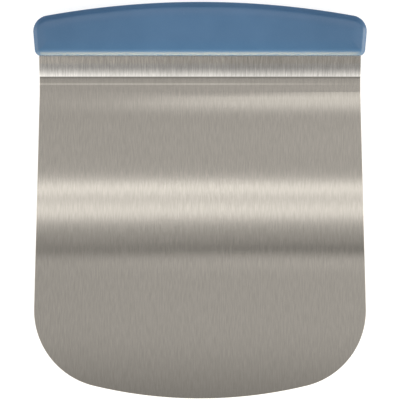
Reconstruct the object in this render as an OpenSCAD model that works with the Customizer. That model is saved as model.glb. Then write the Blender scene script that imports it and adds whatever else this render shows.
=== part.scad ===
// Wide bench scraper: a flat stainless blade with a curved front edge, joggled up at the
// neck into a hollow two-shell handle. It lies on its blade, face up: +X runs across the
// blade, +Y from the front edge to the handle, +Z up. The origin is the middle of its
// footprint, on the bench. Sizes are in millimetres.

/* [Blade] */
// Width of the blade where it leaves the handle
blade_w = 203.2; // [190:0.1:215]
// Length of the flat blade, from the crease to the middle of the front edge
blade_len = 203.8; // [180:0.1:230]
// Thickness of the steel sheet
sheet_t = 1.0; // [0.8:0.1:1.2]
// How far each side edge flares outwards, in degrees
flare = 1.5; // [0.5:0.1:2.5]
// Length of parallel edge between the crease and the start of the flare
parallel_len = 10; // [5:0.5:20]
// Radius of the two front corners
corner_r = 49.3; // [35:0.1:60]
// Radius of the curved front edge
front_r = 287; // [260:1:600]

/* [Neck] */
// Distance in plan from the crease to the handle's mouth
neck_len = 12.8; // [12:0.1:14]
// Height that the neck lifts the tang above the blade
neck_rise = 5.2; // [5:0.1:5.4]
// Slope of the neck just above the crease, in degrees
neck_angle = 30; // [30:0.5:33]
// Radius of the crease, at the middle of the sheet
crease_r = 1.5; // [1.2:0.1:2]

/* [Handle] */
// Depth of the handle at its middle, from its mouth to its crown
handle_depth = 34; // [33:0.1:36]
// Thickness of the handle
handle_t = 13; // [12.8:0.1:14]
// Gap between the back of the handle and the bench
bench_gap = 1; // [0.9:0.05:1.1]
// How far the handle overhangs the blade on each side
overhang = 3.45; // [3.3:0.05:3.8]
// Radius of the crown's long curve
crown_r = 544; // [520:1:700]
// Radius of the two shoulders
shoulder_r = 10.2; // [9.8:0.1:11]
// Radius of the two corners beside the mouth
heel_r = 3.8; // [3.5:0.1:4.2]
// Lean of the handle's ends towards the mouth, in degrees
end_lean = 4.9; // [4.5:0.1:5.2]
// Width in plan of the soft bevel round both faces
edge_w = 4.1; // [4.1:0.1:4.6]
// Slope of the bevel, in degrees
edge_slope = 38; // [34:1:42]
// Height of the shallow crown on the front face
face_crown = 0.6; // [0.4:0.05:0.7]

/* [Assembly] */
// Wall thickness of the shells
wall = 2.4; // [2.2:0.1:2.6]
// Number of screws
screw_count = 5; // [3:2:5]
// Distance between neighbouring screws
screw_pitch = 40; // [36:1:42]
// Thread radius of the screws
screw_r = 1.5; // [1.4:0.05:1.6]

/* [Hidden] */
$fn = 48;
eps = 0.01;

// Lengthwise layout, from the front edge to the crown
overall_len = blade_len + neck_len + handle_depth;
y_front = -overall_len / 2;
y_crease = y_front + blade_len;
y_mouth = y_crease + neck_len;
y_crown = overall_len / 2;

// Neck: a tight crease followed by one long bend that brings the sheet level again
neck_r = neck_rise / (1 - cos(neck_angle)) - crease_r;
y_flat_end = y_crease - crease_r * sin(neck_angle) / 2;
y_level = y_flat_end + (crease_r + neck_r) * sin(neck_angle);

// Tang: the level strip inside the handle
tang_len = 20.7;
y_tang = y_mouth + tang_len;
tang_corner_r = 8;
z_tang = neck_rise;
z_tang_top = neck_rise + sheet_t;

// Handle heights
z_part = neck_rise + sheet_t / 2;
z_base = bench_gap;
z_top = z_base + handle_t;
handle_half = blade_w / 2 + overhang;
face_r = 5.2;
side_r = 1.6;
edge_steps = 4;
crown_steps = 4;
crown_inset = 11;
draft = 0.15;
least_r = 0.4;

// Shell interior
mouth_wall = 6.6;
y_cavity = y_mouth + mouth_wall;
step_in = 2.4;
step_h = 2;
rib_t = 1.6;
rib_places = [0.5, 1.5, 2.35] * screw_pitch;
tongue_t = 0.9;
tongue_h = 1.1;
tongue_gap = 0.1;
pocket_gap = 0.15;

// Neck seal
seal_y = y_mouth + 2.4;
seal_depth = 2.6;
seal_half = blade_w / 2 + 0.6;
seal_below = 2.9;
seal_above = 2.3;

// Screw bosses and screws
y_screw = y_mouth + 14.7;
boss_r = 5.4;
spigot_r = 3.5;
tang_hole_r = spigot_r + pocket_gap;
counterbore_r = 4;
counterbore_h = 2.6;
z_seat = z_base + counterbore_h;
shank_gap = 0.2;
pilot_h = 6.8;
head_r = 2.8;
head_h = 1.4;
head_edge = 0.5;
screw_len = 8;
tip_len = 1.6;
thread_pitch = 1.3;
thread_depth = 0.3;
thread_gap = 0.02;
plug_h = 1;
plug_edge = 0.2;

// Points on an arc, from angle a to angle b
function arc(c, r, a, b, n) =
    [for (i = [0 : n]) c + r * [cos(a + (b - a) * i / n), sin(a + (b - a) * i / n)]];

// The points of a half outline on the right, closed by its mirror image on the left
function closed(half) =
    concat(half, [for (i = [len(half) - 1 : -1 : 0]) [-half[i].x, half[i].y]]);

// Blade outline: parallel edges, flared edges, round corners and a long front curve
flare_start = [blade_w / 2, y_crease - parallel_len];
side_dir = [sin(flare), -cos(flare)];
front_centre = [0, y_front + front_r];
corner_line = flare_start - corner_r * [cos(flare), sin(flare)] - front_centre;
corner_along = -corner_line * side_dir
    + sqrt(pow(corner_line * side_dir, 2) - corner_line * corner_line
        + pow(front_r - corner_r, 2));
corner_centre = front_centre + corner_line + corner_along * side_dir;
front_angle = atan2(corner_centre.y - front_centre.y, corner_centre.x);

// Width of the strip that the blade is cut from: its flared edges stay inside it
strip_w = blade_w + 2 * blade_len * tan(flare);

// The sheet seen from above, tang and all
function sheet_outline() = closed(concat(
    arc([blade_w / 2 - tang_corner_r, y_tang - tang_corner_r], tang_corner_r, 90, 0, 8),
    [flare_start],
    arc(corner_centre, corner_r, flare, front_angle, 24),
    arc(front_centre, front_r, front_angle, -90, 12)));

// The sheet seen from the side, from its front edge to y_end, thickened by gap all round
function sheet_profile(y_end, gap) =
    let (
        t = sheet_t / 2 + gap,
        crease = [y_flat_end, sheet_t / 2 + crease_r],
        bend = [y_level, z_part - neck_r],
        crease_end = neck_angle - 90,
        bend_start = 90 + neck_angle)
    concat(
        [[y_front - 1, -gap]],
        arc(crease, crease_r + t, -90, crease_end, 8),
        arc(bend, neck_r - t, bend_start, 90, 24),
        [[y_end, z_part - t], [y_end, z_part + t]],
        arc(bend, neck_r + t, 90, bend_start, 24),
        arc(crease, crease_r - t, crease_end, -90, 8),
        [[y_front - 1, sheet_t + gap]]);

// Handle outline drawn in by inset: crown curve, shoulders, leaning ends, heels and mouth
function handle_outline(inset) =
    let (
        shoulder = max(shoulder_r - inset, least_r),
        heel = max(heel_r - inset, least_r),
        crown = crown_r - inset,
        crown_centre = [0, y_crown - crown_r],
        xs = handle_half - inset - shoulder,
        ys = crown_centre.y + sqrt(pow(crown - shoulder, 2) - xs * xs),
        yh = y_mouth + inset + heel,
        xh = xs + (shoulder - heel + sin(end_lean) * (yh - ys)) / cos(end_lean),
        crown_angle = atan2(ys - crown_centre.y, xs))
    closed(concat(
        arc(crown_centre, crown, 90, crown_angle, 12),
        arc([xs, ys], shoulder, crown_angle, -end_lean, 12),
        arc([xh, yh], heel, -end_lean, -90, 8)));

// The bevel round a face, blended into the side and into a crown that starts at crown_slope:
// insets and depths below the crown's rim
function bevel(crown_slope) =
    let (
        face_run = face_r * (sin(edge_slope) - sin(crown_slope)),
        side_run = side_r * (1 - sin(edge_slope)),
        side_depth = face_r * (cos(crown_slope) - cos(edge_slope))
            + (edge_w - face_run - side_run) * tan(edge_slope) + side_r * cos(edge_slope))
    concat(
        [for (i = [0 : edge_steps])
            let (a = crown_slope + (edge_slope - crown_slope) * i / edge_steps)
            [edge_w - face_r * (sin(a) - sin(crown_slope)),
                face_r * (cos(crown_slope) - cos(a))]],
        [for (i = [0 : edge_steps]) let (a = edge_slope + (90 - edge_slope) * i / edge_steps)
            [side_r * (1 - sin(a)), side_depth - side_r * cos(a)]]);

// Heights and insets that round one face over: dir is 1 for the front and -1 for the back
function rounding(face_z, dir, crown_h) =
    let (
        crown_run = crown_inset - draft - edge_w,
        crown_slope = atan(2 * crown_h / crown_run))
    concat(
        [[z_part + dir * eps, 0]],
        [for (p = bevel(crown_slope)) [face_z - dir * (crown_h + p.y), draft + p.x]],
        [for (i = [1 : crown_steps]) let (t = i / crown_steps)
            [face_z - dir * crown_h * (1 - t) * (1 - t), draft + edge_w + crown_run * t]]);

module mirrored() {
    children();
    mirror([1, 0, 0]) children();
}

module at_screws() {
    for (i = [0 : screw_count - 1])
        translate([(i - (screw_count - 1) / 2) * screw_pitch, y_screw, 0]) children();
}

// A prism of the handle's outline between two heights
module handle_prism(inset, z0, z1) {
    translate([0, 0, z0]) linear_extrude(z1 - z0) polygon(handle_outline(inset));
}

module rounded_half(face_z, dir, crown_h) {
    hull() {
        for (s = rounding(face_z, dir, crown_h))
            translate([0, 0, s[0] - (dir > 0 ? eps : 0)])
                linear_extrude(eps) polygon(handle_outline(s[1]));
    }
}

// The sheet as a strip of one width
module sheet_strip(width, y_end, gap = 0) {
    translate([-width / 2, 0, 0]) rotate([90, 0, 90])
        linear_extrude(width) polygon(sheet_profile(y_end, gap));
}

// Room for the sheet between the shells. At the mouth it opens up to the parting plane, so
// that the shells close on the neck from above and below.
module blade_pocket() {
    width = blade_w + 2 * pocket_gap;
    z_low = z_part - pow(y_level - y_mouth, 2) / (2 * neck_r);
    sheet_strip(width, y_cavity + 1, pocket_gap);
    translate([-width / 2, y_mouth - 1, z_low])
        cube([width, y_level - y_mouth + 1, z_part + eps - z_low]);
}

module seal_block() {
    translate([-seal_half, seal_y, z_part - seal_below])
        cube([2 * seal_half, seal_depth, seal_below + seal_above]);
}

// A hollow between two heights, stopped short of the mouth
module cavity(inset, z0, z1) {
    intersection() {
        handle_prism(inset, z0, z1);
        translate([-handle_half, y_cavity, z0]) cube([2 * handle_half, handle_depth, z1 - z0]);
    }
}

// Ribs that bear on one face of the tang
module ribs(z0, z1) {
    intersection() {
        cavity(wall, z0, z1);
        for (x = rib_places)
            mirrored()
                translate([x - rib_t / 2, y_cavity - 1, z0])
                    cube([rib_t, handle_depth, z1 - z0]);
    }
}

// The lap joint's tongue, or with a gap the rebate that takes it
module lap(gap) {
    difference() {
        intersection() {
            handle_prism(wall - tongue_t - gap, z_part - tongue_h - gap, z_part + eps);
            translate([-handle_half, y_cavity, z_base])
                cube([2 * handle_half, handle_depth, handle_t]);
        }
        handle_prism(wall + gap, z_base, z_top);
    }
}

module blade() {
    color("silver")
    difference() {
        intersection() {
            sheet_strip(strip_w, y_tang + 1);
            translate([0, 0, -1]) linear_extrude(z_tang_top + 2) polygon(sheet_outline());
        }
        at_screws() translate([0, 0, z_tang - 1]) cylinder(r = tang_hole_r, h = sheet_t + 2);
    }
}

module front_shell() {
    z_ceiling = z_top - wall;
    color("steelblue")
    difference() {
        union() {
            difference() {
                rounded_half(z_top, 1, face_crown);
                cavity(wall, z_part - 1, z_ceiling - step_h);
                cavity(wall + step_in, z_part - 1, z_ceiling);
                blade_pocket();
                seal_block();
            }
            ribs(z_tang_top, z_ceiling + eps);
            lap(0);
            at_screws() {
                translate([0, 0, z_tang_top])
                    cylinder(r = boss_r, h = z_ceiling - z_tang_top + eps);
                translate([0, 0, z_tang]) cylinder(r = spigot_r, h = sheet_t + eps);
            }
        }
        at_screws() translate([0, 0, z_tang - eps]) cylinder(r = screw_r, h = pilot_h);
    }
}

module rear_shell() {
    z_floor = z_base + wall;
    color("steelblue")
    difference() {
        union() {
            difference() {
                rounded_half(z_base, -1, 0);
                cavity(wall, z_floor, z_part + 1);
                blade_pocket();
                seal_block();
                lap(tongue_gap);
            }
            ribs(z_floor - eps, z_tang);
            at_screws() translate([0, 0, z_floor - eps])
                cylinder(r = boss_r, h = z_tang - z_floor + eps);
        }
        at_screws() {
            translate([0, 0, z_base - 1]) cylinder(r = counterbore_r, h = counterbore_h + 1);
            translate([0, 0, z_base]) cylinder(r = screw_r + shank_gap, h = handle_t);
        }
    }
}

// A soft frame round the neck that keeps water out of the handle
module neck_seal() {
    color("dimgray")
    difference() {
        seal_block();
        sheet_strip(blade_w, y_cavity);
    }
}

// Profile of a self-tapping screw: pan head down, thread drawn as rings, conical tip up
function screw_profile() =
    let (
        root = screw_r - thread_depth,
        crest = screw_r - thread_gap,
        turns = floor((screw_len - tip_len) / thread_pitch - 0.5))
    concat(
        [[0, -head_h], [head_r - head_edge, -head_h], [head_r, -head_h + head_edge],
            [head_r, 0], [root, 0]],
        [for (i = [0 : turns - 1], s = [0.5, 0.75, 1])
            [s == 0.75 ? crest : root, (i + s) * thread_pitch]],
        [[root, screw_len - tip_len], [0, screw_len]]);

module handle_screws() {
    slot_l = 3.2;
    slot_w = 0.7;
    slot_h = 0.9;
    color("lightgray")
    at_screws() translate([0, 0, z_seat])
        difference() {
            rotate_extrude() polygon(screw_profile());
            for (a = [0, 90])
                rotate([0, 0, a]) translate([-slot_l / 2, -slot_w / 2, -head_h - eps])
                    cube([slot_l, slot_w, slot_h]);
        }
}

// A cap pressed into one counterbore, flush with the back: index counts from the left
module screw_plug(index) {
    r = counterbore_r - thread_gap;
    x = (index - (screw_count + 1) / 2) * screw_pitch;
    color("steelblue")
    if (index <= screw_count)
        translate([x, y_screw, z_base]) rotate_extrude()
            polygon([[0, 0], [r - plug_edge, 0], [r, plug_edge], [r, plug_h - plug_edge],
                [r - plug_edge, plug_h], [0, plug_h]]);
}

blade();
front_shell();
rear_shell();
neck_seal();
handle_screws();
for (i = [1 : 5])
    screw_plug(i);
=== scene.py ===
"""Looks of the wide bench scraper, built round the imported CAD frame. Lengths are in metres."""

import math

import bmesh
import bpy
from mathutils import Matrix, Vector


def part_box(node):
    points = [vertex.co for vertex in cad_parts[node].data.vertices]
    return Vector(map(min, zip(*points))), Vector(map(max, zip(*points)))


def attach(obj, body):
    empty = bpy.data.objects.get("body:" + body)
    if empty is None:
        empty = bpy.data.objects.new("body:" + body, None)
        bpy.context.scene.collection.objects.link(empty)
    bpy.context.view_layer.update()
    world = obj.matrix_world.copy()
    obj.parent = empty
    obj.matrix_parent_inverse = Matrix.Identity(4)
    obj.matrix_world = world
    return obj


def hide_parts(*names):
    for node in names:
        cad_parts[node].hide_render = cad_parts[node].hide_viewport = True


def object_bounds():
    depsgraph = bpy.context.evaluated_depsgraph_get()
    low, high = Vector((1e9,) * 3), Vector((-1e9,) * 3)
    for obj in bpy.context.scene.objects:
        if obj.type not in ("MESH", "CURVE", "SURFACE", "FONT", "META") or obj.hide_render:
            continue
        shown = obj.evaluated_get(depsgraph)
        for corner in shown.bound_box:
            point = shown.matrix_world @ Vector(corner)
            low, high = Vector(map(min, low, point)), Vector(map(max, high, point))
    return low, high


MM = 0.001
BODY = "root"

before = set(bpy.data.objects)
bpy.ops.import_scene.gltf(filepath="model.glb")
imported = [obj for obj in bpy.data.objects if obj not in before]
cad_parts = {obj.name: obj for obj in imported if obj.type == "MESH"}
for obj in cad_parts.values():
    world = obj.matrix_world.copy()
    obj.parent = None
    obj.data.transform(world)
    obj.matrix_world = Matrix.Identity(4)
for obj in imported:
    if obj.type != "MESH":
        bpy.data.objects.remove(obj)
cad_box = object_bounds()

# ---------------------------------------------------------------- places, from the frame
blade_low, blade_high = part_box("blade")
front_low, front_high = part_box("front_shell")
rear_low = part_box("rear_shell")[0]

# Blade, neck and tang
SHEET_T = 1.0 * MM
BLADE_HALF = 101.6 * MM
BLADE_LEN = 203.8 * MM
PARALLEL_LEN = 10 * MM
FLARE = math.radians(1.5)
CORNER_R = 49.3 * MM
FRONT_R = 287 * MM
CREASE_R = 1.5 * MM
NECK_ANGLE = math.radians(30)
TANG_CORNER_R = 8 * MM
DEBURR = 0.15 * MM
TRIM = 0.02 * MM  # keeps the fine outline inside the coarser box of the CAD mesh
UV_PER_M = 4

# What pressing the crease and rolling the sheet left in the blade: a slight upward tilt that
# starts at a ridge, a small rise at the crease itself, and slow waves all over
PRESS_TILT = math.radians(0.75)
RIDGE_BACK = 10.8 * MM
RIDGE_SWING, SWING_END = 0.9 * MM, 95 * MM
RIDGE_SOFT, SOFT_SWING = 0.6 * MM, 2.4 * MM
SOFT_FROM, SOFT_TO = 10 * MM, -80 * MM
HEEL_RISE = 0.07 * MM
HEEL_FROM, HEEL_TO = 1.05 * MM, 0.35 * MM
HEEL_LEN = 1.5 * MM
WAVE_H = 0.006 * MM

# Points along the blade's outline
TANG_STEPS, TANG_ROWS, NECK_ROWS, CREASE_ROWS, HEEL_ROWS = 10, 4, 60, 10, 15
STRAIGHT_ROWS, SIDE_ROWS, CORNER_STEPS, FRONT_STEPS = 30, 40, 56, 40

Y_FRONT = blade_low.y
Y_CREASE = Y_FRONT + BLADE_LEN
Y_MOUTH = front_low.y
Y_TANG = blade_high.y
Z_PART = blade_high.z - SHEET_T / 2
NECK_RISE = blade_high.z - SHEET_T
NECK_R = NECK_RISE / (1 - math.cos(NECK_ANGLE)) - CREASE_R
Y_FLAT_END = Y_CREASE - CREASE_R * math.sin(NECK_ANGLE) / 2
Y_BEND = Y_FLAT_END + CREASE_R * math.sin(NECK_ANGLE)
Y_LEVEL = Y_FLAT_END + (CREASE_R + NECK_R) * math.sin(NECK_ANGLE)

# Handle
HANDLE_HALF = 105.05 * MM
CROWN_R = 544 * MM
SHOULDER_R = 10.2 * MM
HEEL_R = 3.8 * MM
END_LEAN = math.radians(4.9)
EDGE_W = 4.1 * MM
EDGE_SLOPE = math.radians(38)
FACE_R = 5.2 * MM
SIDE_R = 1.6 * MM
FACE_CROWN = 0.6 * MM
CROWN_INSET = 11 * MM
DRAFT = 0.15 * MM
SEAM = 0.15 * MM
BLADE_GAP = 0.15 * MM
COUNTERBORE_R = 4.03 * MM
TANG_HOLE_R = 3.65 * MM
MIN_R = 0.4 * MM
SKIN_T = 0.5 * MM
CROP_DEPTH = 0.25 * MM
HOLLOW_PAST = 3 * MM

# Points along the handle's outline and over its rounded edges
CROWN_STEPS, SHOULDER_STEPS, HEEL_STEPS, MOUTH_ROWS, EDGE_STEPS = 48, 20, 14, 24, 12
Y_CROWN = front_high.y


# ---------------------------------------------------------------- mesh helpers
def arc(cx, cy, r, a, b, n):
    """n + 1 points (x, y) and outward normals on an arc from angle a to angle b."""
    out = []
    for i in range(n + 1):
        t = a + (b - a) * i / n
        out.append((cx + r * math.cos(t), cy + r * math.sin(t), math.cos(t), math.sin(t)))
    return out


def line(x0, y0, x1, y1, n, normal):
    """n - 1 points strictly between two ends, with one normal."""
    return [(x0 + (x1 - x0) * i / n, y0 + (y1 - y0) * i / n, *normal) for i in range(1, n)]


def mirror_left(right):
    """The right half of an outline, closed by its mirror image: points with x = 0 are kept once."""
    return right + [(-x, y, -nx, ny) for x, y, nx, ny in reversed(right) if x > 1e-9]


def smooth_step(low, high, value):
    t = min(max((value - low) / (high - low), 0), 1)
    return t * t * (3 - 2 * t)


def loft(bm, rings):
    """Quads between successive closed rings of vertices."""
    for a, b in zip(rings, rings[1:]):
        n = len(a)
        for i in range(n):
            bm.faces.new((a[i], a[(i + 1) % n], b[(i + 1) % n], b[i]))


def new_object(name, bm):
    bmesh.ops.recalc_face_normals(bm, faces=bm.faces)
    mesh = bpy.data.meshes.new(name)
    bm.to_mesh(mesh)
    bm.free()
    obj = bpy.data.objects.new(name, mesh)
    bpy.context.scene.collection.objects.link(obj)
    return obj


def combine(obj, tool, operation):
    """Joins, cuts or crops obj by a closed tool, which is used up."""
    modifier = obj.modifiers.new("combine", "BOOLEAN")
    modifier.operation = operation
    modifier.solver = "MANIFOLD"
    modifier.object = tool
    graph = bpy.context.evaluated_depsgraph_get()
    mesh = bpy.data.meshes.new_from_object(obj.evaluated_get(graph))
    obj.modifiers.clear()
    obj.data = mesh
    bpy.data.objects.remove(tool)


def cylinders(name, places, r, z0, z1, segments=64):
    """One closed cylinder along Z at each (x, y)."""
    bm = bmesh.new()
    for x, y in places:
        rings = []
        for z in (z0, z1):
            circle = arc(x, y, r, 0, 2 * math.pi, segments)[:-1]
            rings.append([bm.verts.new((cx, cy, z)) for cx, cy, nx, ny in circle])
        loft(bm, rings)
        for ring in rings:
            bm.faces.new(ring)
    return new_object(name, bm)


def box(name, low, high):
    bm = bmesh.new()
    bmesh.ops.create_cube(bm, size=1)
    for vert in bm.verts:
        vert.co = [low[i] if vert.co[i] < 0 else high[i] for i in range(3)]
    return new_object(name, bm)


def finish_piece(obj, node, sharp_angle):
    """Rides on the body, stands for its CAD node, and has hard edges past sharp_angle."""
    obj.data.shade_smooth()
    obj.data.set_sharp_from_angle(angle=math.radians(sharp_angle))
    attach(obj, BODY)
    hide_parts(node)
    return obj


plug_boxes = [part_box(name) for name in sorted(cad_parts) if name.startswith("screw_plug")]
screw_places = [((low.x + high.x) / 2, (low.y + high.y) / 2) for low, high in plug_boxes]


# ---------------------------------------------------------------- blade
def sheet_at(y):
    """Height and slope of the middle of the sheet at a plan position."""
    if y < Y_FLAT_END:
        return SHEET_T / 2, 0.0
    if y < Y_BEND:
        a = math.asin((y - Y_FLAT_END) / CREASE_R)
        return SHEET_T / 2 + CREASE_R * (1 - math.cos(a)), a
    if y < Y_LEVEL:
        a = math.asin((Y_LEVEL - y) / NECK_R)
        return Z_PART - NECK_R * (1 - math.cos(a)), a
    return Z_PART, 0.0


def press_bow(x, y):
    """How far pressing the crease and rolling the sheet left it above true flat."""
    ridge = Y_CREASE - RIDGE_BACK + RIDGE_SWING * smooth_step(0, SWING_END, x)
    soft = RIDGE_SOFT + SOFT_SWING * smooth_step(SOFT_FROM, SOFT_TO, x)
    over = min(y, Y_CREASE) - ridge
    bow = PRESS_TILT * soft * math.log1p(math.exp(over / soft))
    bow += HEEL_RISE * smooth_step(Y_CREASE - HEEL_FROM, Y_CREASE - HEEL_TO, y)
    wave = math.sin(x * 31 + 1.1) * math.sin(y * 23 + 0.4) + 0.6 * math.sin(x * 12 - y * 47)
    fade = smooth_step(Y_LEVEL, Y_CREASE, y)
    return fade * (bow + WAVE_H * (1.6 + wave))


def sheet_outline():
    """Right half of the sheet's outline, from the end of the tang to the middle of the front."""
    side = (math.sin(FLARE), -math.cos(FLARE))
    start = (BLADE_HALF, Y_CREASE - PARALLEL_LEN)
    # centre of the corner: on a line beside the flared edge, and inside the front curve
    lx = start[0] - CORNER_R * math.cos(FLARE)
    ly = start[1] - CORNER_R * math.sin(FLARE) - (Y_FRONT + FRONT_R)
    along = -(lx * side[0] + ly * side[1])
    reach = along + math.sqrt(along**2 - lx * lx - ly * ly + (FRONT_R - CORNER_R) ** 2)
    cx, cy = lx + reach * side[0], ly + reach * side[1]
    front_angle = math.atan2(cy, cx)
    cy += Y_FRONT + FRONT_R

    points = arc(BLADE_HALF - TANG_CORNER_R, Y_TANG - TANG_CORNER_R, TANG_CORNER_R,
                 math.pi / 2, 0, TANG_STEPS)
    points += line(BLADE_HALF, Y_TANG - TANG_CORNER_R, BLADE_HALF, Y_LEVEL, TANG_ROWS, (1, 0))
    points += [(BLADE_HALF, Y_LEVEL - (Y_LEVEL - Y_BEND) * i / NECK_ROWS, 1, 0)
               for i in range(NECK_ROWS)]
    points += [(BLADE_HALF, Y_BEND - (Y_BEND - Y_FLAT_END) * i / CREASE_ROWS, 1, 0)
               for i in range(CREASE_ROWS + 1)]
    heel = Y_FLAT_END - HEEL_LEN
    points += line(BLADE_HALF, Y_FLAT_END, BLADE_HALF, heel, HEEL_ROWS, (1, 0))
    points += [(BLADE_HALF, heel, 1, 0)]
    points += line(BLADE_HALF, heel, *start, STRAIGHT_ROWS, (1, 0))
    corner = arc(cx, cy, CORNER_R, FLARE, front_angle, CORNER_STEPS)
    points += line(*start, *corner[0][:2], SIDE_ROWS, (math.cos(FLARE), math.sin(FLARE)))
    points += corner
    points += arc(0, Y_FRONT + FRONT_R, FRONT_R, front_angle, -math.pi / 2, FRONT_STEPS)[1:]
    points[-1] = (0.0, points[-1][1], 0.0, -1.0)
    return points


def sheet_vertex(bm, x, y, lift):
    """A vertex of the sheet, lift above its middle, square to it."""
    z, slope = sheet_at(y)
    return bm.verts.new((x, y - lift * math.sin(slope),
                         z + lift * math.cos(slope) + press_bow(x, y)))


def cap_sheet(bm, ring, rows, lift, columns=48):
    """Fills a ring with rows of quads: row i joins the i-th point on the right to its mirror."""
    n = len(ring)
    previous = [ring[n - 1], ring[0]]
    for i in range(1, rows - 1):
        left, right = ring[n - 1 - i], ring[i]
        row = [left]
        plan_y = right.co.y + lift * math.sin(sheet_at(right.co.y)[1])
        for j in range(1, columns):
            x = left.co.x + (right.co.x - left.co.x) * j / columns
            row.append(sheet_vertex(bm, x, plan_y, lift))
        row.append(right)
        if i == 1:
            bm.faces.new(previous + row[::-1])
        else:
            for j in range(columns):
                bm.faces.new((previous[j], previous[j + 1], row[j + 1], row[j]))
        previous = row
    for a, b in zip(previous, previous[1:]):
        bm.faces.new((a, b, ring[rows - 1]))


def build_blade():
    """The sheet, with soft edges and the holes in its tang, and its grain along Y."""
    right = sheet_outline()
    outline = mirror_left(right)
    half_t = SHEET_T / 2
    round_over = [(DEBURR * (1 - math.sin(a)), half_t - DEBURR * (1 - math.cos(a)))
                  for a in (0, math.pi / 6, math.pi / 3, math.pi / 2)]
    round_over.insert(0, (2 * DEBURR, half_t))
    section = round_over + [(inset, -lift) for inset, lift in reversed(round_over)]
    section = [(TRIM + inset, lift) for inset, lift in section]
    bm = bmesh.new()
    rings = [[sheet_vertex(bm, x - nx * inset, y - ny * inset, lift) for x, y, nx, ny in outline]
             for inset, lift in section]
    loft(bm, rings)
    cap_sheet(bm, rings[0], len(right), half_t)
    cap_sheet(bm, rings[-1], len(right), -half_t)
    obj = new_object("blade_sheet", bm)
    combine(obj, cylinders("tang_holes", screw_places, TANG_HOLE_R, 0, 2 * Z_PART), "DIFFERENCE")
    grain = obj.data.uv_layers.new(name="grain")
    for loop in obj.data.loops:
        x, y, z = obj.data.vertices[loop.vertex_index].co
        grain.data[loop.index].uv = (x * UV_PER_M + 0.5, y * UV_PER_M + 0.5)
    return finish_piece(obj, "blade", 20)


# ---------------------------------------------------------------- handle
def handle_outline(inset):
    """Right half of the handle's outline drawn in by inset, from the crown to the mouth."""
    shoulder = max(SHOULDER_R - inset, MIN_R)
    heel = max(HEEL_R - inset, MIN_R)
    crown = CROWN_R - inset
    crown_y = Y_CROWN - CROWN_R
    xs = HANDLE_HALF - inset - shoulder
    ys = crown_y + math.sqrt((crown - shoulder) ** 2 - xs * xs)
    yh = Y_MOUTH + inset + heel
    xh = xs + (shoulder - heel + math.sin(END_LEAN) * (yh - ys)) / math.cos(END_LEAN)
    crown_angle = math.atan2(ys - crown_y, xs)
    points = arc(0, crown_y, crown, math.pi / 2, crown_angle, CROWN_STEPS)
    points[0] = (0.0, *points[0][1:])
    points += arc(xs, ys, shoulder, crown_angle, -END_LEAN, SHOULDER_STEPS)[1:]
    points += arc(xh, yh, heel, -END_LEAN, -math.pi / 2, HEEL_STEPS)
    points += line(xh, Y_MOUTH + inset, 0, Y_MOUTH + inset, MOUTH_ROWS, (0, -1))
    points += [(0.0, Y_MOUTH + inset, 0, -1)]
    return points


def skin_profile(height, crown_h, depth):
    """Insets and heights of one half's skin, or of a surface depth inside it, from the seam up."""
    if depth:
        out = [(depth, -HOLLOW_PAST)]
    else:
        out = [(SEAM, 0), (0.1 * SEAM, SEAM)]
    crown_run = CROWN_INSET - DRAFT - EDGE_W
    crown_slope = math.atan(2 * crown_h / crown_run)
    rise, run = math.sin(EDGE_SLOPE), math.cos(EDGE_SLOPE)
    face_run = FACE_R * (rise - math.sin(crown_slope))
    bevel_run = EDGE_W - face_run - SIDE_R * (1 - rise)
    face_drop = FACE_R * (math.cos(crown_slope) - run)
    side_depth = face_drop + bevel_run * rise / run + SIDE_R * run
    for i in range(EDGE_STEPS + 1):
        a = math.pi / 2 + (EDGE_SLOPE - math.pi / 2) * i / EDGE_STEPS
        r = SIDE_R - depth
        out.append((DRAFT + SIDE_R - r * math.sin(a),
                    height - crown_h - side_depth + r * math.cos(a)))
    for i in range(EDGE_STEPS + 1):
        a = EDGE_SLOPE + (crown_slope - EDGE_SLOPE) * i / EDGE_STEPS
        r = FACE_R - depth
        out.append((DRAFT + EDGE_W + FACE_R * math.sin(crown_slope) - r * math.sin(a),
                    height - crown_h - FACE_R * math.cos(crown_slope) + r * math.cos(a)))
    for i in range(1, EDGE_STEPS + 1):
        t = i / EDGE_STEPS
        out.append((DRAFT + EDGE_W + crown_run * t, height - depth - crown_h * (1 - t) ** 2))
    return out


def skin_solid(name, height, direction, crown_h, depth):
    """A closed solid inside skin_profile, above the seam or, with direction -1, below it."""
    bm = bmesh.new()
    rings = []
    for inset, lift in skin_profile(height, crown_h, depth):
        outline = mirror_left(handle_outline(inset))
        rings.append([bm.verts.new((x, y, Z_PART + direction * lift))
                      for x, y, nx, ny in outline])
    loft(bm, rings)
    bm.faces.new(rings[0])
    bm.faces.new(rings[-1])
    return new_object(name, bm)


def welded_copy(node):
    """A copy of a CAD node's mesh, closed for a boolean."""
    bm = bmesh.new()
    bm.from_mesh(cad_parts[node].data)
    bmesh.ops.remove_doubles(bm, verts=bm.verts, dist=0.001 * MM)
    return new_object(node + "_copy", bm)


def build_shell(name, node, height, direction, crown_h):
    """A smooth outer skin over the CAD shell's own ribs, bosses, seat for the blade and rebate."""
    shell = skin_solid(name, height, direction, crown_h, 0)
    combine(shell, skin_solid("hollow", height, direction, crown_h, SKIN_T), "DIFFERENCE")
    z, slope = sheet_at(Y_MOUTH)
    half_gap = (SHEET_T / 2 + BLADE_GAP) / math.cos(slope)
    slot_half = BLADE_HALF + BLADE_GAP
    slot = box("slot", (-slot_half, Y_MOUTH - MM, z - half_gap),
               (slot_half, Y_MOUTH + MM, z + half_gap))
    combine(shell, slot, "DIFFERENCE")
    if direction < 0:
        bores = cylinders("bores", screw_places, COUNTERBORE_R, 0, rear_low.z + MM)
        combine(shell, bores, "DIFFERENCE")
    inside = welded_copy(node)
    combine(inside, skin_solid("crop", height, direction, crown_h, CROP_DEPTH), "INTERSECT")
    combine(shell, inside, "UNION")
    return finish_piece(shell, node, 30)


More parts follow.
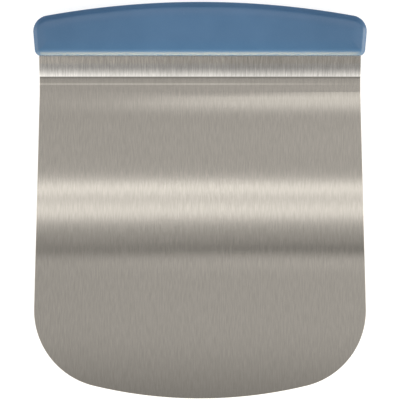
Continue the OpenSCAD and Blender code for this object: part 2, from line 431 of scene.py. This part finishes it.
# ---------------------------------------------------------------- materials
class Nodes:
    """A short way to build a node tree."""

    def __init__(self, tree):
        self.tree = tree

    def add(self, kind, **settings):
        node = self.tree.nodes.new(kind)
        for key, value in settings.items():
            setattr(node, key, value)
        return node

    def link(self, out, to):
        self.tree.links.new(out, to)

    def noise(self, vector, scale, detail=3.0):
        mapping = self.add("ShaderNodeMapping")
        mapping.inputs["Scale"].default_value = scale
        self.link(vector, mapping.inputs["Vector"])
        noise = self.add("ShaderNodeTexNoise")
        noise.inputs["Scale"].default_value = 1.0
        noise.inputs["Detail"].default_value = detail
        self.link(mapping.outputs["Vector"], noise.inputs["Vector"])
        return noise.outputs["Fac"]

    def remap(self, value, low, high, source=(0.3, 0.7)):
        node = self.add("ShaderNodeMapRange")
        node.inputs["From Min"].default_value = source[0]
        node.inputs["From Max"].default_value = source[1]
        node.inputs["To Min"].default_value = low
        node.inputs["To Max"].default_value = high
        self.link(value, node.inputs["Value"])
        return node.outputs["Result"]

    def math(self, operation, *values):
        node = self.add("ShaderNodeMath", operation=operation)
        for socket, value in zip(node.inputs, values):
            if isinstance(value, (int, float)):
                socket.default_value = value
            else:
                self.link(value, socket)
        return node.outputs[0]

    def mix(self, factor, a, b):
        node = self.add("ShaderNodeMix", data_type="RGBA")
        self.link(factor, node.inputs[0])
        for socket, value in ((node.inputs[6], a), (node.inputs[7], b)):
            if isinstance(value, tuple):
                socket.default_value = (*value, 1)
            else:
                self.link(value, socket)
        return node.outputs[2]

    def bump(self, height, strength, distance):
        node = self.add("ShaderNodeBump")
        node.inputs["Strength"].default_value = strength
        node.inputs["Distance"].default_value = distance
        self.link(height, node.inputs["Height"])
        return node.outputs["Normal"]


# Noise scales along X, Y and Z, per metre
FINE_GRAIN = (1500, 140, 140)
LONG_GRAIN = (2200, 12, 12)
NECK_GRAIN = (1700, 130, 130)
NECK_CLOUD = (30, 30, 30)
MOULD_CLOUD = (60, 60, 60)
MOULD_GRAIN = (2500, 2500, 2500)
RUBBER_SPECK = (1500, 1500, 1500)
ZINC_SPANGLE = (900, 900, 900)

STEEL_DARK, STEEL_LIGHT = (0.578, 0.54, 0.478), (0.657, 0.61, 0.544)
BLUE_DARK, BLUE_LIGHT = (0.067, 0.16, 0.305), (0.076, 0.173, 0.326)
RUBBER_DARK, RUBBER_LIGHT = (0.03, 0.03, 0.032), (0.055, 0.055, 0.057)
ZINC_DARK, ZINC_LIGHT = (0.58, 0.59, 0.6), (0.74, 0.74, 0.72)

# Roughness from dark to light grain, and strength and depth of the bump
STEEL_ROUGH, STEEL_BUMP = (0.085, 0.095), (0.5, 0.02 * MM)
BLUE_ROUGH, BLUE_BUMP = (0.22, 0.28), (0.15, 0.01 * MM)
RUBBER_ROUGH, ZINC_ROUGH = (0.6, 0.75), (0.22, 0.38)

# The neck's finish fades in over these heights, with more roughness, coarser grain, slow clouds and
# a painted reflection that is brighter at -X and darker right of the middle
BENT_FADE = (1.15 * MM, 1.6 * MM)
BENT_ROUGH = 0.1
STREAK_SHADE, CLOUD_SHADE = (0.84, 1.07), (0.96, 1.04)
# Painted reflection along the neck: place, 0 at -X and 1 at +X, and brightness there
NECK_PAINTED_SHEEN = [(0.0, 1.13), (0.3, 1.02), (0.55, 1.0), (0.72, 0.92), (0.86, 1.0), (1.0, 1.0)]
# Painted shade on the flat blade that darkens towards the crease, and a painted highlight line just
# beyond it, away from the crease
CREASE_SHADE_FROM, CREASE_SHADE_TO, CREASE_SHADE_DARK = 4 * MM, 0.5 * MM, 0.14
HIGHLIGHT_LINE_BACK, HIGHLIGHT_LINE_HALF = 4.6 * MM, (0.25 * MM, 0.75 * MM)
HIGHLIGHT_LINE_LEVELS, HIGHLIGHT_LINE_FADE = (0.38, 0.02), (0.01, 0.1)
# Painted shade: the handle darkens a little towards its ends, over this distance from the middle
END_PAINTED_SHADE, END_PAINTED_FADE = 0.88, (0.03, 0.1)


def new_material(name):
    """A material, its node tree, its shader and the object's own coordinates."""
    mat = bpy.data.materials.new(name)
    mat.use_nodes = True
    nodes = Nodes(mat.node_tree)
    shader = mat.node_tree.nodes["Principled BSDF"]
    place = nodes.add("ShaderNodeTexCoord").outputs["Object"]
    return mat, nodes, shader, place


def painted_sheen_across(n, x):
    """Painted reflection on the neck: its brightness from one end to the other, from the table of
    places and levels.
    """
    ramp = n.add("ShaderNodeValToRGB")
    stops = ramp.color_ramp.elements
    for i, (at, level) in enumerate((NECK_PAINTED_SHEEN[0], NECK_PAINTED_SHEEN[-1])):
        stops[i].position, stops[i].color = at, (level, level, level, 1)
    for at, level in NECK_PAINTED_SHEEN[1:-1]:
        stops.new(at).color = (level, level, level, 1)
    n.link(n.remap(x, 0, 1, (-BLADE_HALF, BLADE_HALF)), ramp.inputs[0])
    return ramp.outputs[0]


def neck_shade(n, place, x, bent):
    """1 on the flat blade, and on the bent part the neck's coarse streaks, slow clouds and painted
    reflection across it.
    """
    coarse = n.noise(place, NECK_GRAIN, detail=2)
    cloud = n.noise(place, NECK_CLOUD, detail=1)
    shade = n.math("MULTIPLY", painted_sheen_across(n, x), n.remap(cloud, *CLOUD_SHADE))
    shade = n.math("MULTIPLY", n.remap(coarse, *STREAK_SHADE), shade)
    return n.math("ADD", 1, n.math("MULTIPLY", bent, n.math("SUBTRACT", shade, 1)))


def painted_crease_shade_and_line(n, split, bent, shade):
    """Adds painted shade that darkens the flat blade towards the crease, and a painted highlight
    line just beyond it that fades towards +X.
    """
    crease_shade = n.remap(split.outputs["Y"], 0, 1, (Y_CREASE - CREASE_SHADE_FROM, Y_CREASE - CREASE_SHADE_TO))
    crease_shade = n.math("MULTIPLY", crease_shade, n.math("SUBTRACT", 1, bent))
    shade = n.math("MULTIPLY_ADD", crease_shade, -CREASE_SHADE_DARK, shade)
    off_line = n.math("ABSOLUTE", n.math("SUBTRACT", split.outputs["Y"], Y_CREASE - HIGHLIGHT_LINE_BACK))
    highlight = n.remap(off_line, 1, 0, HIGHLIGHT_LINE_HALF)
    highlight = n.math("MULTIPLY", highlight, n.remap(split.outputs["X"], *HIGHLIGHT_LINE_LEVELS, HIGHLIGHT_LINE_FADE))
    return n.math("ADD", highlight, shade)


def brushed_steel():
    """Satin stainless, with grain along Y that shows coarser on the bent neck, a painted reflection
    across the neck, and painted shade and a painted highlight line before the crease.
    """
    mat, n, shader, place = new_material("brushed_stainless")
    fine = n.noise(place, FINE_GRAIN, detail=2)
    streaks = n.noise(place, LONG_GRAIN, detail=2)
    split = n.add("ShaderNodeSeparateXYZ")
    n.link(place, split.inputs[0])
    bent = n.remap(split.outputs["Z"], 0, 1, BENT_FADE)
    colour = n.mix(n.remap(fine, 0, 1), STEEL_DARK, STEEL_LIGHT)
    # Painted reflection on the neck, and painted shade and a painted highlight line before the
    # crease, scale the steel's colour
    shade = neck_shade(n, place, split.outputs["X"], bent)
    shade = painted_crease_shade_and_line(n, split, bent, shade)
    tint = n.add("ShaderNodeVectorMath", operation="SCALE")
    n.link(colour, tint.inputs[0])
    n.link(shade, tint.inputs["Scale"])
    n.link(tint.outputs[0], shader.inputs["Base Color"])
    bent_rough = n.math("MULTIPLY", bent, BENT_ROUGH)
    rough = n.math("ADD", n.remap(streaks, *STEEL_ROUGH), bent_rough)
    n.link(rough, shader.inputs["Roughness"])
    n.link(n.bump(streaks, *STEEL_BUMP), shader.inputs["Normal"])
    shader.inputs["Metallic"].default_value = 1.0
    shader.inputs["Anisotropic"].default_value = 1.0
    tangent = n.add("ShaderNodeTangent", direction_type="UV_MAP", uv_map="grain")
    n.link(tangent.outputs["Tangent"], shader.inputs["Tangent"])
    return mat


def blue_plastic():
    """Semi-gloss moulded plastic with a faint mould texture, and painted shade towards the handle's
    ends.
    """
    mat, n, shader, place = new_material("blue_moulded_plastic")
    cloud = n.noise(place, MOULD_CLOUD, detail=2)
    grain = n.noise(place, MOULD_GRAIN, detail=2)
    colour = n.mix(n.remap(cloud, 0, 1), BLUE_DARK, BLUE_LIGHT)
    split = n.add("ShaderNodeSeparateXYZ")
    n.link(place, split.inputs[0])
    out = n.math("ABSOLUTE", split.outputs["X"])
    tint = n.add("ShaderNodeVectorMath", operation="SCALE")
    n.link(colour, tint.inputs["Vector"])
    n.link(n.remap(out, 1, END_PAINTED_SHADE, END_PAINTED_FADE), tint.inputs["Scale"])
    n.link(tint.outputs["Vector"], shader.inputs["Base Color"])
    n.link(n.remap(grain, *BLUE_ROUGH), shader.inputs["Roughness"])
    n.link(n.bump(grain, *BLUE_BUMP), shader.inputs["Normal"])
    return mat


def seal_rubber():
    """Matt black rubber, faintly speckled."""
    mat, n, shader, place = new_material("seal_rubber")
    speck = n.noise(place, RUBBER_SPECK)
    n.link(n.mix(speck, RUBBER_DARK, RUBBER_LIGHT), shader.inputs["Base Color"])
    n.link(n.remap(speck, *RUBBER_ROUGH), shader.inputs["Roughness"])
    return mat


def zinc_plate():
    """Bright zinc plate with a fine spangle."""
    mat, n, shader, place = new_material("bright_zinc")
    spangle = n.noise(place, ZINC_SPANGLE)
    n.link(n.mix(spangle, ZINC_DARK, ZINC_LIGHT), shader.inputs["Base Color"])
    n.link(n.remap(spangle, *ZINC_ROUGH), shader.inputs["Roughness"])
    shader.inputs["Metallic"].default_value = 1.0
    return mat


def paint(obj, mat):
    """Gives every part of an object the one material."""
    if obj.material_slots:
        for material_slot in obj.material_slots:
            material_slot.material = mat
    else:
        obj.data.materials.append(mat)


# ---------------------------------------------------------------- studio
CAMERA_H = 1.3
FRAMING = 1.011  # the picture's width at the blade over the object's length
VIEW_Y = 0.47 * MM
SENSOR_W = 36
UPRIGHT = (math.radians(90), 0, 0)

CEILING_HALF, CEILING_H = 3, 4.0
CEILING_LEVEL, CEILING_LEAST = 0.52, 0.04
MIRROR = 1 + CEILING_H / CAMERA_H  # size on the ceiling of what the blade mirrors at size 1
FLOOR_HALF, FLOOR_DROP = 8, 0.05 * MM
FLOOR_CLOUD = (3, 3, 3)
FLOOR_GREYS = (0.5, 0.5, 0.497), (0.51, 0.51, 0.507)
FLOOR_GLOW = 0.71
WORLD_LEVEL = 0.75

# Boards that stand across the Y axis: half width, half height, and middle
FLAG_HALF, FLAG_PLACE = (3.5, 1.8), (0, 2.6, 1.4)
FLAG_CLOUD = (30, 30, 30)
FLAG_GREYS = (0.18, 0.18, 0.18), (0.22, 0.22, 0.22)
CARD_HALF, CARD_PLACE = (1.7, 1.6), (0, -1.62, 1.6)
CARD_COLOUR = (0.965, 1, 1.06, 1)
# The card's light: its level at the top, what it gains down RISE_SPAN, the part that is left at
# the bottom of FOOT_SPAN, and what it gains towards the left of LEFT_SPAN
CARD_LEVEL, CARD_RISE, RISE_SPAN = 0.42, 0.88, (-0.5, 1.0)
FOOT_LEVEL, FOOT_SPAN = 0.5, (-1.15, -0.72)
LEFT_GAIN, LEFT_SPAN = 0.25, (-0.7, 0.1)

# Strips that the blade mirrors, in mm on the blade from the camera's axis: middle, half width
# and softness along Y, the same along X or None where it has no ends, and brightness added. The
# steel's grain spreads light along X, so narrow limits there would not show
STRIPS = [
    ((7.5, 3.5, 3.5), None, 1.1),
    ((-6.2, 5.0, 4), None, 0.82),
    ((-25.5, 5.5, 5.5), None, -0.135),
    ((-31.6, 2.2, 1.5), None, -0.2),
    ((-31.6, 2.2, 1.5), (450, 400, 300), -0.5),
    ((-39.5, 3.5, 2.5), None, 0.04),
    ((-39.5, 3.5, 2.5), (150, 170, 80), 0.12),
    ((76, 17.8, 2), (100, 145, 85), 0.51),
    ((-120, 110, 40), (-160, 80, 40), -0.06),
    ((-173, 60, 35), None, -0.27),
    ((63, 3, 2.5), (100, 145, 85), 0.07),
    ((53.5, 2.5, 2.5), None, -0.06),
    ((38, 10, 6), (220, 200, 160), 0.055),
    ((-400, 170, 35), None, -0.13),
    ((-400, 170, 35), (-650, 400, 300), 0.45),
    ((180, 80, 16), (0, 55, 50), 0.25),
    ((430, 120, 50), None, 1.2),
    ((960, 380, 40), None, -0.45),
]

# Softboxes: name, azimuth and elevation in degrees, distance, size, radiance and colour
WHITE, WARM, WARMER = (1, 1, 1), (1, 0.95, 0.85), (1, 0.92, 0.75)
AMBER = (1.1, 0.88, 0.42)
SOFTBOXES = [
    ("low_front", 0, 12.5, 1.55, (0.6, 0.34), 18.5, AMBER),
    ("right_front", 45, 12, 1.6, (0.9, 0.4), 5.5, WARMER),
    ("left_front", -45, 12, 1.6, (0.9, 0.4), 3.5, WARMER),
    ("right_side", 90, 15, 1.6, (1.2, 0.6), 4.0, WARM),
    ("left_side", -90, 15, 1.6, (1.2, 0.6), 1.5, WARM),
    ("right_top", 90, 62, 3.5, (1.6, 1.6), 0.6, WHITE),
    ("left_top", -90, 62, 3.5, (1.6, 1.6), 0.5, WHITE),
]


def add_camera():
    data = bpy.data.cameras.new("camera")
    data.sensor_width = SENSOR_W
    data.lens = data.sensor_width * (CAMERA_H - SHEET_T) / (FRAMING * 2 * cad_box[1][1])
    camera = bpy.data.objects.new("camera", data)
    camera.location = (0, VIEW_Y, CAMERA_H)
    bpy.context.scene.collection.objects.link(camera)
    bpy.context.scene.camera = camera


def stage_plane(name, half_x, half_y, location, rotation=(0, 0, 0)):
    """A rectangle of the studio, flat unless turned."""
    bm = bmesh.new()
    corners = [(-half_x, -half_y), (half_x, -half_y), (half_x, half_y), (-half_x, half_y)]
    bm.faces.new([bm.verts.new((x, y, 0)) for x, y in corners])
    mesh = bpy.data.meshes.new(name)
    bm.to_mesh(mesh)
    bm.free()
    obj = bpy.data.objects.new(name, mesh)
    obj.location = location
    obj.rotation_euler = rotation
    bpy.context.scene.collection.objects.link(obj)
    return obj


def add_floor():
    """A sheet of white acrylic, lit a little from below."""
    floor = stage_plane("floor", FLOOR_HALF, FLOOR_HALF, (0, 0, -FLOOR_DROP))
    mat, n, shader, place = new_material("pale_floor")
    cloud = n.noise(place, FLOOR_CLOUD)
    n.link(n.mix(cloud, *FLOOR_GREYS), shader.inputs["Base Color"])
    shader.inputs["Roughness"].default_value = 0.8
    shader.inputs["Specular IOR Level"].default_value = 0.2
    shader.inputs["Emission Color"].default_value = (1, 1, 1, 1)
    shader.inputs["Emission Strength"].default_value = FLOOR_GLOW
    floor.data.materials.append(mat)


def softbox(name, azimuth, elevation, distance, size, radiance, colour):
    """A rectangular light that faces the middle of the object."""
    data = bpy.data.lights.new(name, "AREA")
    data.shape = "RECTANGLE"
    data.size, data.size_y = size
    data.energy = radiance * math.pi * size[0] * size[1]
    data.color = colour
    light = bpy.data.objects.new(name, data)
    a, e = math.radians(azimuth), math.radians(elevation)
    away = Vector((math.sin(a) * math.cos(e), -math.cos(a) * math.cos(e), math.sin(e)))
    light.location = away * distance
    light.rotation_euler = away.to_track_quat("Z", "Y").to_euler()
    light.visible_camera = False
    bpy.context.scene.collection.objects.link(light)


def soft_band(n, place, band):
    """1 inside a band of the ceiling and 0 outside it, with soft edges."""
    middle, half, soft = (v * MM * MIRROR for v in band)
    away = n.math("ABSOLUTE", n.math("SUBTRACT", place, middle), 0)
    inside = n.remap(away, 1, 0, (half - soft, half + soft))
    inside.node.interpolation_type = "SMOOTHSTEP"
    return inside


def glowing_plane(plane, name):
    """Gives a plane a light of its own, which the camera doesn't see. Returns its node tree, its
    own coordinates and the light's node."""
    mat = bpy.data.materials.new(name)
    mat.use_nodes = True
    n = Nodes(mat.node_tree)
    mat.node_tree.nodes.remove(mat.node_tree.nodes["Principled BSDF"])
    split = n.add("ShaderNodeSeparateXYZ")
    n.link(n.add("ShaderNodeTexCoord").outputs["Object"], split.inputs[0])
    glow = n.add("ShaderNodeEmission")
    n.link(glow.outputs[0], mat.node_tree.nodes["Material Output"].inputs["Surface"])
    plane.data.materials.append(mat)
    plane.visible_camera = False
    return n, split, glow


def add_ceiling():
    """A diffuser above the camera, with soft strips across it that the blade mirrors."""
    ceiling = stage_plane("ceiling", CEILING_HALF, CEILING_HALF, (0, VIEW_Y, CEILING_H))
    n, split, glow = glowing_plane(ceiling, "ceiling_light")
    level = CEILING_LEVEL
    for along_y, along_x, added in STRIPS:
        strip = soft_band(n, split.outputs["Y"], along_y)
        if along_x:
            strip = n.math("MULTIPLY", strip, soft_band(n, split.outputs["X"], along_x))
        level = n.math("MULTIPLY_ADD", strip, added, level)
    n.link(n.math("MAXIMUM", level, CEILING_LEAST), glow.inputs["Strength"])


def add_flag():
    """A grey board behind the handle, seen only in reflections."""
    flag = stage_plane("flag", *FLAG_HALF, FLAG_PLACE, UPRIGHT)
    mat, n, shader, place = new_material("flag_cloth")
    cloud = n.noise(place, FLAG_CLOUD)
    n.link(n.mix(cloud, *FLAG_GREYS), shader.inputs["Base Color"])
    shader.inputs["Roughness"].default_value = 0.9
    flag.data.materials.append(mat)
    flag.visible_camera = False


def add_front_card():
    """A tall card in front, brighter towards its foot, that the neck mirrors."""
    card = stage_plane("front_card", *CARD_HALF, CARD_PLACE, UPRIGHT)
    n, split, glow = glowing_plane(card, "front_card_light")
    rise = n.remap(split.outputs["Y"], 1, 0, RISE_SPAN)
    level = n.math("MULTIPLY_ADD", n.math("POWER", rise, 2), CARD_RISE, CARD_LEVEL)
    level = n.math("MULTIPLY", level, n.remap(split.outputs["Y"], FOOT_LEVEL, 1, FOOT_SPAN))
    left = n.remap(split.outputs["X"], 1, 0, LEFT_SPAN)
    level = n.math("MULTIPLY", level, n.math("MULTIPLY_ADD", left, LEFT_GAIN, 1))
    glow.inputs["Color"].default_value = CARD_COLOUR
    n.link(level, glow.inputs["Strength"])


def add_world():
    world = bpy.data.worlds.new("studio")
    bpy.context.scene.world = world
    world.use_nodes = True
    background = world.node_tree.nodes["Background"]
    background.inputs["Color"].default_value = (1, 1, 1, 1)
    background.inputs["Strength"].default_value = WORLD_LEVEL


def add_studio():
    add_camera()
    add_floor()
    add_ceiling()
    add_flag()
    add_front_card()
    add_world()
    for light in SOFTBOXES:
        softbox(*light)
    view = bpy.context.scene.view_settings
    view.view_transform = "Standard"
    view.look = "None"


# ---------------------------------------------------------------- the object
add_studio()

steel, plastic, rubber, zinc = brushed_steel(), blue_plastic(), seal_rubber(), zinc_plate()
paint(build_blade(), steel)
paint(build_shell("front_cover", "front_shell", front_high.z - Z_PART, 1, FACE_CROWN), plastic)
paint(build_shell("rear_cover", "rear_shell", Z_PART - rear_low.z, -1, 0), plastic)
for node_name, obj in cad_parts.items():
    if node_name.startswith("screw_plug"):
        paint(obj, plastic)
paint(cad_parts["neck_seal"], rubber)
paint(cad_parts["handle_screws"], zinc)
